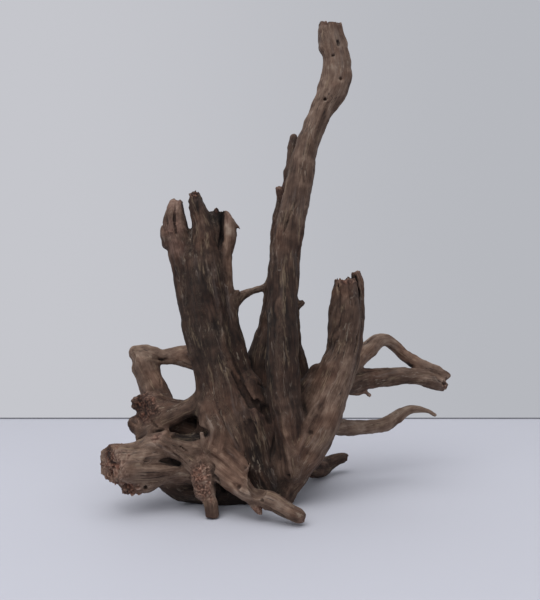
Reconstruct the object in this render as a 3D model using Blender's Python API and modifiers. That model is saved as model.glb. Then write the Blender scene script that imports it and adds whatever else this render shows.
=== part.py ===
"""A dry root: one piece of weathered wood with a broad split stump, a tall leaning branch, a short stump,
side branches, a looped arm and the torn feet it stands on.

The root is drawn as strands: each is a line of stations that holds the strand's middle and its radius. Every
strand is a bevelled curve. Their meshes are fused by a voxel Remesh, softened, hollowed where the wood has
rotted away between strands, and cut level where the feet have worn flat. It needs Blender 4.5.
"""

import bmesh
import bpy
from mathutils import Vector

NAME = "dry_root"
HEIGHT = 0.4805  # from the table to the tip of the tall branch
DRAWN_HEIGHT = 480.5  # the same height in the unit of the stations below, which are millimetres
UNIT = HEIGHT / DRAWN_HEIGHT

VOXEL = 0.0021  # finer than the thinnest twig's radius
SOFTEN_STEPS = 3
TRIANGLES_KEPT = 0.062  # share of the fused skin's faces
FLOOR_BLOCK_SIZE = 1.0

# Stations are (x, y, z, radius), from a strand's free end to where it sinks into the others.
STRANDS = {
    # The tall branch leans right, swells below its broken tip and sinks into the crown of the base.
    "tall_branch": [
        (37, -8, 466, 11.5), (39, -8, 457, 12.7), (43, -8, 440, 13.8), (43, -8, 423, 15),
        (38, -9, 408, 14), (30, -11, 392, 11), (19.5, -14, 369, 10.5), (12, -17, 343, 11),
        (6, -20, 317, 12.2), (0, -23, 289, 12.8), (-7, -26, 257, 13.8), (-11, -30, 222, 15),
        (-12, -34, 188, 15), (-12, -38, 155, 16.4), (-11, -40, 116, 16.3), (-7, -40, 78, 15),
        (-4, -38, 39, 15),
    ],
    "tall_left_prong": [(30, -8, 472, 5.5), (32, -8, 462, 7), (35, -8, 448, 9)],
    "tall_right_prong": [(44, -8, 475.5, 5.5), (43, -8, 462, 8), (42, -8, 448, 9)],
    # The broad stump is a bundle of strands, each ending in a torn tooth of its own.
    "stump_left": [
        (-120, 0, 295, 4), (-121, 0, 285, 9.5), (-121, 0, 270, 13),
        (-115, 0, 241, 12.6), (-106, -2, 198, 13),
        (-96, -6, 152, 13), (-84, -12, 102, 14), (-74, -20, 59, 18),
    ],
    "stump_middle": [
        (-102, -2, 302, 5.8), (-98, -3, 291, 8), (-92, -4, 272, 11), (-91, -6, 247, 14.3),
        (-87, -8, 208, 15.2), (-78, -12, 158, 15), (-69, -18, 103, 17), (-60, -22, 49, 20),
    ],
    "stump_sliver": [(-79.5, 4, 288, 3), (-81, 2, 279, 5.5), (-84, 0, 262, 8.5), (-86, 0, 236, 12)],
    "stump_right": [
        (-70, 2, 284, 3.6), (-66.5, 2, 274, 7.4), (-67, 2, 263, 8.5), (-74, 0, 237, 11.3),
        (-72, -2, 198, 12.3), (-67, -6, 173, 13), (-61, -8, 147, 14.2),
        (-51, -12, 97, 14), (-44, -15, 48, 16),
    ],
    "stump_rear": [
        (-90, 14, 256, 8), (-90, 14, 236, 12), (-86, 13, 190, 14), (-78, 9, 130, 16), (-66, 2, 70, 20),
    ],
    # A twig has grown across from the broad stump into the rear branch.
    "bridge_twig": [
        (-66, 0, 195, 8), (-54, 4, 200, 5.7), (-43, 12, 206, 3.6), (-28, 22, 211, 3.4), (-16, 24, 214, 3.6),
    ],
    # The rear branch stands behind the tall one, on two legs.
    "rear_branch": [
        (2, 18, 366, 6.4), (1.5, 18, 355, 6.9), (-1, 18, 336, 7.4), (-5, 18, 315, 7.4), (-10, 18, 293, 8.5),
        (-13, 19, 267, 9.6), (-14, 20, 238, 10), (-18, 21, 214, 10.6), (-20, 22, 196, 10.7),
        (-24, 22, 175, 11.7), (-29, 20, 153, 13.8), (-35, 14, 130, 14.7), (-38, 2, 100, 15.5),
        (-42, -8, 66, 16),
    ],
    "rear_stub": [(-14, 11, 315, 3.5), (-12, 12, 309, 3.7), (-8, 16, 297, 4.2)],
    "rear_leg": [
        (-10, 20, 240, 6.4), (-2, 18, 209, 6.4), (1, 16, 187, 5.8), (3, 14, 172, 5.4), (7, 10, 151, 5.4),
        (12, 6, 134, 5.7), (14, 0, 116, 7.2), (13, -8, 97, 9),
    ],
    "rear_leg_stub": [(11, 15, 195, 2.8), (9, 15, 194, 3.2), (1, 16, 190, 3.7)],
    # The short stump stands on the root's front right foot. A split plate stands up behind its tip.
    "short_stump": [
        (51, -14, 214, 9.5), (52, -14, 202, 12.6), (52, -14, 186, 15.6),
        (51, -14, 168, 16), (48, -16, 148, 16),
        (41, -19, 126, 18), (33, -22, 104, 19.8), (26, -26, 80, 21.2), (18, -30, 58, 21.5),
        (8, -33, 38, 19.4), (1, -36, 20, 14.5), (-3, -36, 7, 8.7),
    ],
    "split_plate": [
        (64, -4, 221, 5), (66, -4, 208, 5.6), (67, -4, 188, 5.6), (64, -6, 162, 6.6), (56, -10, 137, 8),
        (47, -14, 113, 10),
    ],
    # Two side branches part behind the short stump and meet again at their tips.
    "arch_upper": [
        (177, 65, 114, 4.4), (167, 66, 118, 5.4), (153, 68, 123, 6),
        (140, 70, 129, 6.1), (128, 70, 137, 6.3),
        (117, 68, 148, 6.5), (107, 64, 152, 6.8), (97, 60, 150, 7.4), (87, 54, 144, 8.6), (73, 46, 136, 10),
        (61, 36, 124, 11), (45, 22, 107, 12.8),
    ],
    "arch_lower": [
        (172, 62, 102, 5), (166, 62, 104, 6.8), (155, 61, 108, 8), (140, 60, 112, 8.2), (123, 58, 112, 8.3),
        (99, 54, 111, 9.5), (78, 46, 112, 11.6), (58, 34, 110, 13.6), (34, 18, 103, 14.8), (7, 0, 95, 16.5),
    ],
    "small_twig": [
        (85, 45, 94, 2.2), (79, 43, 97, 2.3), (73, 40, 96, 2.4), (63, 36, 98, 3), (49, 28, 103, 4),
    ],
    "low_branch": [
        (159, 55, 71, 2.2), (154, 56, 73, 2.6), (145, 58, 74, 3), (136, 60, 74, 3.5), (126, 60, 71, 4.5),
        (119, 60, 64, 5.5), (109, 58, 59, 6.2), (95, 54, 57, 5.8), (76, 46, 58, 6.6), (52, 34, 61, 6.9),
        (29, 15, 63, 8.5), (7, -5, 63, 12),
    ],
    # The arm loops from the broad stump out to an elbow and back down into the knuckle.
    "looped_arm": [
        (-164, 22, 140, 9.6), (-152, 24, 139, 9), (-139, 25, 137, 7.5), (-127, 24, 139, 8.8),
        (-112, 20, 139, 11.2), (-94, 12, 135, 11.5), (-73, -2, 124, 14.4),
    ],
    "arm_drop": [
        (-164, 22, 140, 10), (-158, 20, 130, 12.8), (-151, 16, 116, 13.2), (-145, 10, 102, 13.4),
        (-141, 4, 89, 15.5),
    ],
    "knuckle": [
        (-157, -4, 91, 9.2), (-147, -4, 88, 14.3), (-134, -4, 84, 14.3),
        (-117, 0, 85, 10), (-98, -8, 87, 9),
    ],
    "knuckle_lobe": [(-154, -12, 73, 12), (-143, -12, 73, 13), (-126, -6, 70, 12), (-104, -6, 62, 14)],
    "strap": [(-145, -16, 83, 7), (-124, -18, 87, 7), (-106, -16, 93, 5.5), (-93, -12, 96, 6)],
    # The thick broken stub at the front left, with one strand crossing over it and one under it.
    "thick_stub": [
        (-167, -62, 46, 14), (-161, -62, 46, 18), (-152, -60, 43, 20.4), (-138, -54, 43, 20.6),
        (-123, -45, 42, 19), (-103, -35, 41, 21.3), (-78, -25, 42, 23.7),
    ],
    "crossing_strand": [
        (-135, -58, 71, 6), (-125, -62, 67, 6.5), (-115, -60, 58, 6.5),
        (-104, -55, 47, 6.5), (-94, -48, 36, 8),
    ],
    "under_strand": [
        (-152, -58, 26, 7), (-140, -58, 27, 7.5), (-127, -56, 32, 7.5),
        (-110, -52, 35, 8.5), (-94, -48, 35, 10.4),
    ],
    # The mass that holds everything together, and the feet.
    "heart": [(-72, -15, 48, 26), (-54, -15, 36, 26), (-32, -15, 34, 24), (-10, -22, 37, 23.8)],
    "sole": [(-72, -28, 12.5, 14.7), (-48, -24, 14, 15), (-24, -27, 16, 15), (-4, -33, 14, 14)],
    "keel": [(-125, -40, 30, 10.6), (-109, -34, 19, 11), (-92, -30, 11.5, 12.8), (-68, -28, 12.5, 14.7)],
    "torn_lump": [(-87, -56, 43, 6.5), (-86, -60, 31, 8.5), (-83, -62, 22, 8.3)],
    "peg": [
        (-77, -70, 3, 5.4), (-77, -69, 8, 6), (-79, -66, 13, 6.6), (-81, -62, 21, 7), (-84, -54, 34, 8),
    ],
    "front_root": [
        (4, -96, 3, 4.6), (-2, -94, 7, 6), (-12, -89, 13, 6.6), (-23, -83, 17, 7.3), (-36, -76, 21, 8.5),
        (-50, -68, 26, 10.2), (-63, -60, 33, 11), (-74, -52, 42, 10.3), (-83, -42, 53, 9.6),
    ],
    "front_root_spur": [(-31, -80, 9, 2.4), (-34, -78, 14, 3), (-38, -74, 20, 4)],
    "rear_right_foot": [
        (63, 76, 13, 5.3), (48, 68, 12, 6.4), (34, 56, 10, 9.5), (17, 36, 19, 12), (-3, 10, 41, 14.6),
    ],
    "rear_left_foot": [(-99, 88, 5, 7), (-90, 66, 11, 11), (-76, 30, 36, 16.2), (-63, 0, 64, 18.5)],
    "rear_middle_foot": [(9, 94, 3.5, 6), (-3, 71, 11, 10), (-17, 35, 34, 15.2), (-32, 0, 64, 18.5)],
}

# Where the wood has rotted away between strands: lines of stations again, but of what is missing.
HOLLOWS = {
    "side_hollow": [(-124, -34, 69, 5), (-112, -30, 69, 8), (-98, -30, 68, 8), (-90, -34, 66, 4)],
    "stub_slot": [(-138, -84, 49, 3), (-126, -72, 47, 6), (-114, -66, 45, 4)],
    "stump_split": [(-73, -14, 280, 3), (-74, -14, 262, 3), (-76, -14, 246, 2)],
}

WOOD_COLOUR = (0.095, 0.066, 0.05, 1.0)
WOOD_ROUGHNESS = 0.85


def clear_scene():
    for obj in list(bpy.data.objects):
        bpy.data.objects.remove(obj, do_unlink=True)


def new_collection(name):
    collection = bpy.data.collections.new(name)
    bpy.context.scene.collection.children.link(collection)
    return collection


def dry_wood():
    material = bpy.data.materials.new("dry_wood")
    material.use_nodes = True
    shader = material.node_tree.nodes["Principled BSDF"]
    shader.inputs["Base Color"].default_value = WOOD_COLOUR
    shader.inputs["Roughness"].default_value = WOOD_ROUGHNESS
    shader.inputs["Metallic"].default_value = 0.0
    return material


def strand_curve(name, stations, collection):
    """One strand: a curve through its stations, bevelled to each station's own radius."""
    data = bpy.data.curves.new(name, "CURVE")
    data.dimensions = "3D"
    data.resolution_u = 4
    data.bevel_depth = UNIT
    data.bevel_resolution = 3
    data.use_fill_caps = True
    spline = data.splines.new("BEZIER")
    spline.bezier_points.add(len(stations) - 1)
    for point, (x, y, z, radius) in zip(spline.bezier_points, stations):
        point.co = Vector((x, y, z)) * UNIT
        point.radius = radius
        point.handle_left_type = point.handle_right_type = "AUTO"
    curve = bpy.data.objects.new(name, data)
    collection.objects.link(curve)
    return curve


def rounded_tip(bm, station):
    """A ball on a strand's end, so that its tip is round and not a flat disc."""
    x, y, z, radius = station
    made = bmesh.ops.create_icosphere(bm, subdivisions=2, radius=radius * UNIT)
    bmesh.ops.translate(bm, verts=made["verts"], vec=Vector((x, y, z)) * UNIT)


def strands_mesh(name, strands, collection):
    """All the strands as closed tubes in one mesh. They still pass through one another."""
    curves = [strand_curve(f"{name}_{key}", stations, collection) for key, stations in strands.items()]
    bpy.context.view_layer.update()
    graph = bpy.context.evaluated_depsgraph_get()
    bm = bmesh.new()
    for curve, stations in zip(curves, strands.values()):
        tube = bpy.data.meshes.new_from_object(curve.evaluated_get(graph))
        bm.from_mesh(tube)
        bpy.data.meshes.remove(tube)
        rounded_tip(bm, stations[0])
        rounded_tip(bm, stations[-1])
    bmesh.ops.remove_doubles(bm, verts=bm.verts, dist=1e-6)
    mesh = bpy.data.meshes.new(name)
    bm.to_mesh(mesh)
    bm.free()
    for curve in curves:
        data = curve.data
        bpy.data.objects.remove(curve)
        bpy.data.curves.remove(data)
    return mesh


def fused(name, mesh, collection):
    """An object whose mesh is fused into one closed skin by a voxel Remesh."""
    obj = bpy.data.objects.new(name, mesh)
    collection.objects.link(obj)
    remesh = obj.modifiers.new("fuse the strands", "REMESH")
    remesh.mode = "VOXEL"
    remesh.voxel_size = VOXEL
    remesh.use_smooth_shade = True
    return obj


def cutter(obj):
    obj.hide_render = True
    obj.display_type = "WIRE"
    return obj


def floor_block(collection):
    """Everything below the table's surface."""
    mesh = bpy.data.meshes.new("floor_block")
    bm = bmesh.new()
    bmesh.ops.create_cube(bm, size=FLOOR_BLOCK_SIZE)
    bmesh.ops.translate(bm, verts=bm.verts, vec=(0, 0, -FLOOR_BLOCK_SIZE / 2))
    bm.to_mesh(mesh)
    bm.free()
    block = bpy.data.objects.new("floor_block", mesh)
    collection.objects.link(block)
    return cutter(block)


def cut(obj, tool):
    boolean = obj.modifiers.new(f"cut {tool.name}", "BOOLEAN")
    boolean.operation = "DIFFERENCE"
    boolean.solver = "EXACT"
    boolean.object = tool


def build():
    clear_scene()
    parts = new_collection(NAME)
    cutters = new_collection("cutters")
    cutters.hide_render = True

    root = fused(NAME, strands_mesh(NAME, STRANDS, parts), parts)
    root.data.materials.append(dry_wood())
    cut(root, cutter(fused("rotted_hollows", strands_mesh("rotted_hollows", HOLLOWS, cutters), cutters)))

    soften = root.modifiers.new("soften the joins", "SMOOTH")
    soften.factor = 0.5
    soften.iterations = SOFTEN_STEPS

    thin = root.modifiers.new("keep what the shape needs", "DECIMATE")
    thin.ratio = TRIANGLES_KEPT
    cut(root, floor_block(cutters))


build()
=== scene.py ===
# %% [markdown]
# # A dry root
#
# A dead root that has dried and weathered: a broad split stump, a tall leaning branch, a short stump, thin
# side branches, a looped arm, and the torn feet that it stands on. It is one piece of wood. This lesson
# builds its skin as one surface, worked out with numpy, and then its finish.
#
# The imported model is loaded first. It is the size that everything here has to keep.

import math

import bpy
import numpy as np
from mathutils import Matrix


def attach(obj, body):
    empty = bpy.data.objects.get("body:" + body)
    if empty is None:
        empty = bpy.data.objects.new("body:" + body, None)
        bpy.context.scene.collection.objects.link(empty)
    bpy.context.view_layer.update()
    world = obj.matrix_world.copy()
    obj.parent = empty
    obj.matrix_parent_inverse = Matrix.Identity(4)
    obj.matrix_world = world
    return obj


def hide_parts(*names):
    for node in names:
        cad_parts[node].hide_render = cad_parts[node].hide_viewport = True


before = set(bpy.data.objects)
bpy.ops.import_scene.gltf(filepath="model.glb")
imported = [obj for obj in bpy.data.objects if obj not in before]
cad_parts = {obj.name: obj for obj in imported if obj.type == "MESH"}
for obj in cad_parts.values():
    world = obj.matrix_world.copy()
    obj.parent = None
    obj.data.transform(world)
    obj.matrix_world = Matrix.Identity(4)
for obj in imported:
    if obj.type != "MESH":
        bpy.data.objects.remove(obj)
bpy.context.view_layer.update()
MM = 0.001

# %% [markdown]
# ## Camera, floor and light
#
# The camera stands level, a little below half the root's height and close to it, so near feet look larger
# than far ones. The floor is a pale table top that ends in a thin dark strip, a painted shadow where it
# meets the wall. Past it there is only the pale world, which reads as a plain wall and doesn't stand in the
# way of the other views.

# %% Colours
def linear(hex_colour):
    """An sRGB hex colour as linear red, green, blue: each channel c becomes ((c + 0.055) / 1.055) ** 2.4."""
    channels = [int(hex_colour[i:i + 2], 16) / 255 for i in (1, 3, 5)]
    return [c / 12.92 if c <= 0.04045 else ((c + 0.055) / 1.055) ** 2.4 for c in channels]


def node(tree, kind, inputs=(), stops=(), **settings):
    """Adds a node with its settings, and its colour stops if it is a ramp: (place from 0 to 1, colour). Then it
    links or sets the inputs: (input's name or number, socket or value)."""
    made = tree.nodes.new(kind)
    for name, value in settings.items():
        setattr(made, name, value)
    for number, (place, hex_colour) in enumerate(stops):
        stop = made.color_ramp.elements[number] if number < 2 else made.color_ramp.elements.new(place)
        stop.position, stop.color = place, (*linear(hex_colour), 1)
    for name, value in inputs:
        if isinstance(value, bpy.types.NodeSocket):
            tree.links.new(value, made.inputs[name])
        else:
            made.inputs[name].default_value = value
    return made


# %% Camera
EYE = (-0.024, -0.600, 0.198)
LENS_MM = 35.0

camera = bpy.data.objects.new("camera", bpy.data.cameras.new("camera"))
camera.data.lens = LENS_MM
camera.location = EYE
camera.rotation_euler = (math.radians(90), 0, 0)
bpy.context.collection.objects.link(camera)
bpy.context.scene.camera = camera
bpy.context.scene.view_settings.view_transform = "Standard"
print("camera at", EYE, "with a lens of", LENS_MM, "mm")

# %% Floor and world
FLOOR_BACK = 0.371
FLOOR_SIDE = 1.1
FLOOR_FRONT = -1.1
GAP_HEIGHT = 0.0022  # the height of the dark strip painted as the shadow where the floor meets the wall


def painted_board(name, hex_colour):
    """Eggshell paint: an even, pale, almost matt surface."""
    material = bpy.data.materials.new(name)
    material.use_nodes = True
    shader = material.node_tree.nodes["Principled BSDF"]
    shader.inputs["Base Color"].default_value = (*linear(hex_colour), 1)
    shader.inputs["Roughness"].default_value = 0.55
    shader.inputs["Specular IOR Level"].default_value = 0.3
    return material


def stage_sheet(name, corners, paint):
    """A flat sheet with these four corners that belongs to the stage and not to the root."""
    mesh = bpy.data.meshes.new(name)
    mesh.from_pydata(corners, [], [(0, 1, 2, 3)])
    mesh.materials.append(paint)
    sheet = bpy.data.objects.new(name, mesh)
    bpy.context.collection.objects.link(sheet)


far_left, far_right = (-FLOOR_SIDE, FLOOR_BACK, 0), (FLOOR_SIDE, FLOOR_BACK, 0)
stage_sheet("floor", [(-FLOOR_SIDE, FLOOR_FRONT, 0), (FLOOR_SIDE, FLOOR_FRONT, 0), far_right, far_left],
            painted_board("painted_board", "#b7b8c0"))
# A thin dark strip stands at the floor's far edge: a painted shadow line where the floor meets the wall.
stage_sheet("painted_seam_shadow", [far_left, far_right, (FLOOR_SIDE, FLOOR_BACK, GAP_HEIGHT),
                         (-FLOOR_SIDE, FLOOR_BACK, GAP_HEIGHT)], painted_board("shadow_gap", "#6f7076"))
print("floor", 2 * FLOOR_SIDE, "m wide and", round(FLOOR_BACK - FLOOR_FRONT, 3), "m deep")

# %% The pale room
# Light from a window on the left falls off across the room, so the wall is a little darker on the right. The
# share is the direction's x, from -1 to 1.
world = bpy.data.worlds.new("pale_room")
bpy.context.scene.world = world
world.use_nodes = True
room = world.node_tree
towards = node(room, "ShaderNodeTexCoord").outputs["Generated"]
rightness = node(room, "ShaderNodeSeparateXYZ", [(0, towards)])
share = node(room, "ShaderNodeMapRange", [(0, rightness.outputs[0]), (1, -0.4), (2, 0.4)],
             interpolation_type="SMOOTHSTEP").outputs[0]
wall_colour = node(room, "ShaderNodeMix", [(0, share), (6, (*linear("#c5c6cc"), 1)), (7, (*linear("#b6b8be"), 1))],
                   data_type="RGBA")
room.links.new(wall_colour.outputs[2], room.nodes["Background"].inputs["Color"])
room.nodes["Background"].inputs["Strength"].default_value = 1.0

# %% [markdown]
# Three soft boxes light the root, as a studio would: a large one at the front left, a larger one straight
# above, and a weak one at the front right that keeps the shadow side readable.

# %% Lights
MIDDLE = (0, 0, 0.2)  # what every light faces


def soft_light(name, place, size, watts):
    """A square white soft box at a place, turned to face the middle of the root."""
    data = bpy.data.lights.new(name, "AREA")
    data.size = size
    data.energy = watts
    light = bpy.data.objects.new(name, data)
    light.location = place
    gaze = np.subtract(MIDDLE, place)
    light.rotation_euler = (math.atan2(math.hypot(gaze[0], gaze[1]), -gaze[2]), 0,
                            math.atan2(gaze[1], gaze[0]) - math.pi / 2)
    bpy.context.collection.objects.link(light)


soft_light("key", (-0.8, -1.2, 1.9), 1.7, 25)
soft_light("top", (0.0, 0.0, 1.9), 2.0, 19)
soft_light("fill", (1.3, -1.3, 0.8), 1.2, 4)
print("lights:", [light.name for light in bpy.data.lights])

# %% [markdown]
# ## How the root is drawn
#
# A root is a bundle of strands that have grown together. Each strand is a profile carried along a path: a
# lobed circle whose radius changes from station to station. The stations are listed in millimetres, from
# the free end to where the strand sinks into the others: (x, y, z, radius).
#
# Tubes that only pass through one another would look like plumbing. So each strand is worked out as a field
# of distances instead: a number at every point of a grid, negative inside the wood. Fields can be melted
# together with a fillet, hollowed, split and worn flat, and the skin is found afterwards where the field is
# zero.

# %% Repeatable noise
def lattice(cell, seed):
    """A fixed number from -1 to 1 for each whole-numbered cell: its three indices are mixed by large primes."""
    mixed = cell[..., 0] * 374761393 + cell[..., 1] * 668265263 + cell[..., 2] * 1274126177 + seed * 362437
    mixed = (mixed ^ (mixed >> 13)) * 1103515245
    mixed = mixed ^ (mixed >> 16)
    return (mixed & 0xFFFF) / 32767.5 - 1


def noise(points, seed=0):
    """Smooth noise from -1 to 1: the eight corner numbers of each unit cell, blended with the ease 3t2 - 2t3."""
    base = np.floor(points).astype(np.int64)
    t = points - base
    t = t * t * (3 - 2 * t)
    pulls = 1 - t, t
    total = 0
    for i, j, k in np.ndindex(2, 2, 2):
        share = pulls[i][..., 0] * pulls[j][..., 1] * pulls[k][..., 2]
        total = total + share * lattice(base + (i, j, k), seed)
    return total * 1.5


def crumbs(points, seed=0):
    """Crumbled wood: up to 1 at the middle of each crumb, falling to 0 at the gap between it and the next one,
    and a number from -1 to 1 that is the crumb's own. Each unit cell holds one crumb's middle, and the gap is
    where the two nearest middles are equally far."""
    points = points + 0.45 * np.stack([noise(points * 1.3, seed + k) for k in (11, 12, 13)], axis=-1)
    base = np.floor(points).astype(np.int64)
    nearest = np.full(points.shape[:-1], 9.0)
    second = nearest.copy()
    own = np.zeros_like(nearest)
    for step in np.ndindex(3, 3, 3):
        cell = base + np.array(step) - 1
        middle = cell + 0.5 + 0.46 * np.stack([lattice(cell, seed + k) for k in (1, 2, 3)], axis=-1)
        far = np.linalg.norm(points - middle, axis=-1)
        second = np.minimum(second, np.maximum(far, nearest))
        own = np.where(far < nearest, lattice(cell, seed + 4), own)
        nearest = np.minimum(nearest, far)
    return np.clip((second - nearest) * 1.8, 0, 1), own


# %% A strand: a profile carried along a path
STEP = 2.0  # mm between a strand's samples
strands = []


def smooth_through(values, at, where):
    """A curve through every value: in each span a cubic whose end slopes are the mean slopes of its neighbours."""
    slope = np.gradient(values, at, axis=0)
    i = np.clip(np.searchsorted(at, where, side="right") - 1, 0, len(at) - 2)
    span = (at[i + 1] - at[i])[:, None]
    u = (where - at[i])[:, None] / span
    return ((2 * u ** 3 - 3 * u ** 2 + 1) * values[i] + (u ** 3 - 2 * u ** 2 + u) * span * slope[i]
            + (3 * u ** 2 - 2 * u ** 3) * values[i + 1] + (u ** 3 - u ** 2) * span * slope[i + 1])


def unit(vectors):
    """Vectors of length 1: each is divided by its own length."""
    return vectors / np.linalg.norm(vectors, axis=-1, keepdims=True)


def chord_of(stations):
    """How far along each station is: the straight steps between the stations, added up."""
    return np.r_[0, np.cumsum(np.linalg.norm(np.diff(stations[:, :3], axis=0), axis=1))]


def strand(name, stations, blend=4.0, lobes=0.10, snapped=0.0, core=0.0, twist=0.004, tone=0.0):
    """Adds a strand. blend is the fillet where it meets the others and lobes the depth of its flutes, as a
    share of its radius. snapped is how far its broken end's splinters reach, core how deep that end has
    rotted out, twist the turn of its grain in radians per mm, and tone how pale (+) or dark (-) it is: one
    number, or several that are spread evenly from its free end."""
    stations = np.array(stations, float)
    chord = chord_of(stations)
    along = np.linspace(0, chord[-1], max(2, math.ceil(chord[-1] / STEP) + 1))
    carried = smooth_through(stations, chord, along)
    middle, radius = carried[:, :3], np.maximum(carried[:, 3], 0.8)
    heading = unit(np.gradient(middle, along, axis=0))
    tones = np.atleast_1d(tone).astype(float)
    tone = np.interp(along, np.linspace(0, along[-1], len(tones)), tones)
    side = np.empty_like(heading)
    carry = np.cross(heading[0], (0.31, 0.9, 0.2))
    for i, ahead in enumerate(heading):  # the side direction is carried along with the least turning
        carry = unit(carry - ahead * (carry @ ahead))
        side[i] = carry
    strands.append(dict(
        name=name, middle=middle, radius=radius, along=along, heading=heading, side=side,
        up=np.cross(heading, side), blend=blend, lobes=lobes, snapped=snapped, core=core, twist=twist,
        tone=tone, seed=11 * len(strands)))


# %% [markdown]
# ## The strands
#
# The tall branch leans to the right, swells near its top and ends in two torn prongs. Its grain turns slowly
# round it. A second, thinner branch stands close behind it, on two legs.

# %% Tall branch and rear branch
strand("tall_branch", [
    (38, -8, 477, 10.3), (40, -8, 462, 12), (43.4, -8, 442, 14.2), (44, -8, 424, 15.8), (38.4, -9, 407, 14.8),
    (28.2, -11, 390, 11.6), (18.8, -14, 369, 11), (10.4, -17, 343, 12.2), (5.2, -20, 317, 13.1),
    (-0.3, -23, 289, 13.4), (-7, -26, 257, 14), (-11, -30, 222, 14.8), (-12, -34, 188, 15), (-12, -38, 155, 16),
    (-11, -40, 116, 16), (-7, -40, 78, 15), (-4, -38, 39, 15)], snapped=7, blend=5, lobes=0.07, twist=0.006,
    tone=(0.7, 0.75, 0.5, 0.3, 0.1, -0.35, -0.75, -0.75, -0.3, 0))
strand("tall_left_prong", [(29.5, -7, 481, 5), (30.5, -8, 469, 6.4), (33, -8, 455, 8)], snapped=4, tone=0.2)
strand("tall_right_prong", [(41, -8, 479, 4.4), (42.5, -8, 470, 7), (43, -8, 455, 9)], snapped=5, tone=0.6)
strand("rear_branch", [
    (1, 18, 370, 4), (1, 18, 362, 6.4), (0.8, 18, 350, 7.2), (-1, 18, 336, 7.4), (-4.4, 18, 315, 7.6),
    (-11.5, 18, 293, 8.8), (-15, 19, 267, 10), (-15, 20, 238, 10), (-18, 21, 214, 10.6), (-20, 22, 196, 10.7),
    (-24, 22, 175, 11.7), (-29, 20, 153, 13.8), (-35, 14, 130, 14.7), (-38, 2, 100, 15.5), (-42, -8, 66, 16)],
    tone=-0.5)
strand("rear_stub", [(-15, 11, 318, 3), (-14, 11, 313, 4), (-12, 12, 307, 4), (-8, 16, 295, 4.2)], snapped=3,
       tone=-0.3)
strand("rear_leg", [
    (-10, 20, 240, 6.4), (-2, 18, 209, 6.4), (1, 16, 187, 5.8), (2, 14, 172, 5.2), (5, 10, 151, 5.2),
    (9, 6, 134, 5.7), (12, 0, 116, 7.2), (12, -8, 97, 9)], tone=-0.5)
strand("rear_leg_stub", [(12, 15, 197, 2.6), (10, 15, 195, 3.2), (1, 16, 190, 3.7)], snapped=1.5)

# %% [markdown]
# The broad stump is a bundle of strands side by side. Rain has run down between them and rotted the seams,
# so each ends in a torn tooth of its own. A twig has grown across from it into the tall branch.

# %% Broad stump
strand("stump_body", [
    (-97, 2, 262, 11), (-96, 2, 250, 17), (-93.5, 2, 230, 21.5), (-90, 1, 198, 24), (-83, -2, 152, 24),
    (-70, -12, 102, 22), (-65, -22, 59, 23)], blend=7, lobes=0.05, tone=(-0.5, -0.55, -0.3, -0.1))
strand("stump_left", [
    (-118.5, 0, 303, 5.4), (-121, 0, 294, 8.6), (-122, 0, 283, 11), (-120, 0, 270, 12.4), (-114, 0, 241, 13),
    (-105, -2, 198, 13.4), (-94.5, -6, 152, 13.8), (-86, -10, 125, 14.6), (-80, -14, 102, 17.6), (-73, -24, 59, 19)],
    snapped=6, blend=5, lobes=0.08, tone=(0.2, 0, -0.3, -0.5, -0.4, -0.1, 0))
strand("stump_left_burl", [(-134, -1, 274, 3), (-131.5, -1, 268, 5.5), (-127, -1, 257, 7.5)], snapped=2, blend=2.5,
       tone=-0.1)
strand("stump_middle", [
    (-103, -2, 310, 5.5), (-101.5, -2, 302, 7.6), (-98, -3, 291, 9.4), (-93, -3, 274, 11.5), (-91, -4, 247, 16),
    (-87, -8, 208, 17), (-78, -12, 158, 17), (-68, -20, 103, 19), (-60, -26, 49, 21)], snapped=8, blend=4,
    lobes=0.08, tone=(0.3, -0.3, -0.6, -0.7, -0.5, -0.2, 0, 0))
strand("stump_notch", [(-109, 3, 272, 6), (-108, 3, 258, 10), (-104, 2, 240, 12)], blend=3, snapped=3, tone=-0.4)
strand("stump_step", [(-86.5, 0, 290, 4.5), (-86.5, 0, 281, 6), (-86, 0, 262, 9), (-86, 0, 236, 12)], snapped=4,
       blend=2.5, tone=-0.2)
strand("stump_sliver", [(-79.5, 4, 295, 2.8), (-79.5, 3, 286, 3.6), (-80, 2, 276, 5), (-82, 1, 256, 8)], snapped=4,
       blend=2, tone=-0.7)
strand("stump_backing", [(-73, 8, 290, 4.5), (-74, 7, 270, 6), (-76, 7, 240, 10)], snapped=4, blend=2, tone=-0.9)
strand("stump_right", [
    (-71, 2, 291, 3), (-68, 2, 283, 5), (-65.5, 2, 273, 6.6), (-66, 2, 262, 7), (-69.5, 0, 240, 7),
    (-70.5, -2, 220, 8.5), (-71, -3, 198, 11.5), (-67, -6, 173, 12.2), (-61, -8, 147, 13.6), (-51, -12, 97, 14),
    (-44, -15, 48, 16)], snapped=4, blend=3, lobes=0.08, tone=(0.8, 0.9, 0.6, 0, -0.3, -0.1, 0.1, 0))
strand("stump_hair", [(-55, 2, 271, 0.9), (-57.5, 2, 274, 1.4), (-63, 2, 279, 2.4)], blend=2, tone=0.5)
strand("stump_hair_two", [(-58.5, 3, 264, 0.8), (-60, 3, 270, 1.3), (-64, 2, 277, 2.2)], blend=1.5, tone=-0.5)
strand("stump_rear", [(-92, 13, 272, 8), (-92, 13, 250, 13), (-88, 13, 198, 16), (-78, 9, 130, 18), (-66, 2, 70, 22)],
       snapped=9, lobes=0.14, blend=6)
strand("bridge_twig", [
    (-16, 24, 215, 3.4), (-28, 21, 212, 3.3), (-43, 12, 207.5, 3.5), (-52, 5, 203.5, 4.6), (-60, 0, 197, 6.6),
    (-68, -2, 184, 8)], blend=5, tone=(0.7, 0.6, 0.3))
strand("bridge_knot", [(-57, -4, 207, 2), (-60, -3, 203, 4), (-66, -2, 196, 6)], blend=3, tone=0.5)

# %% [markdown]
# The short stump stands on the front right foot. Its end has rotted into a cup with a broken rim, and a thin
# plate of wood has split off and stands up behind it.

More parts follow.
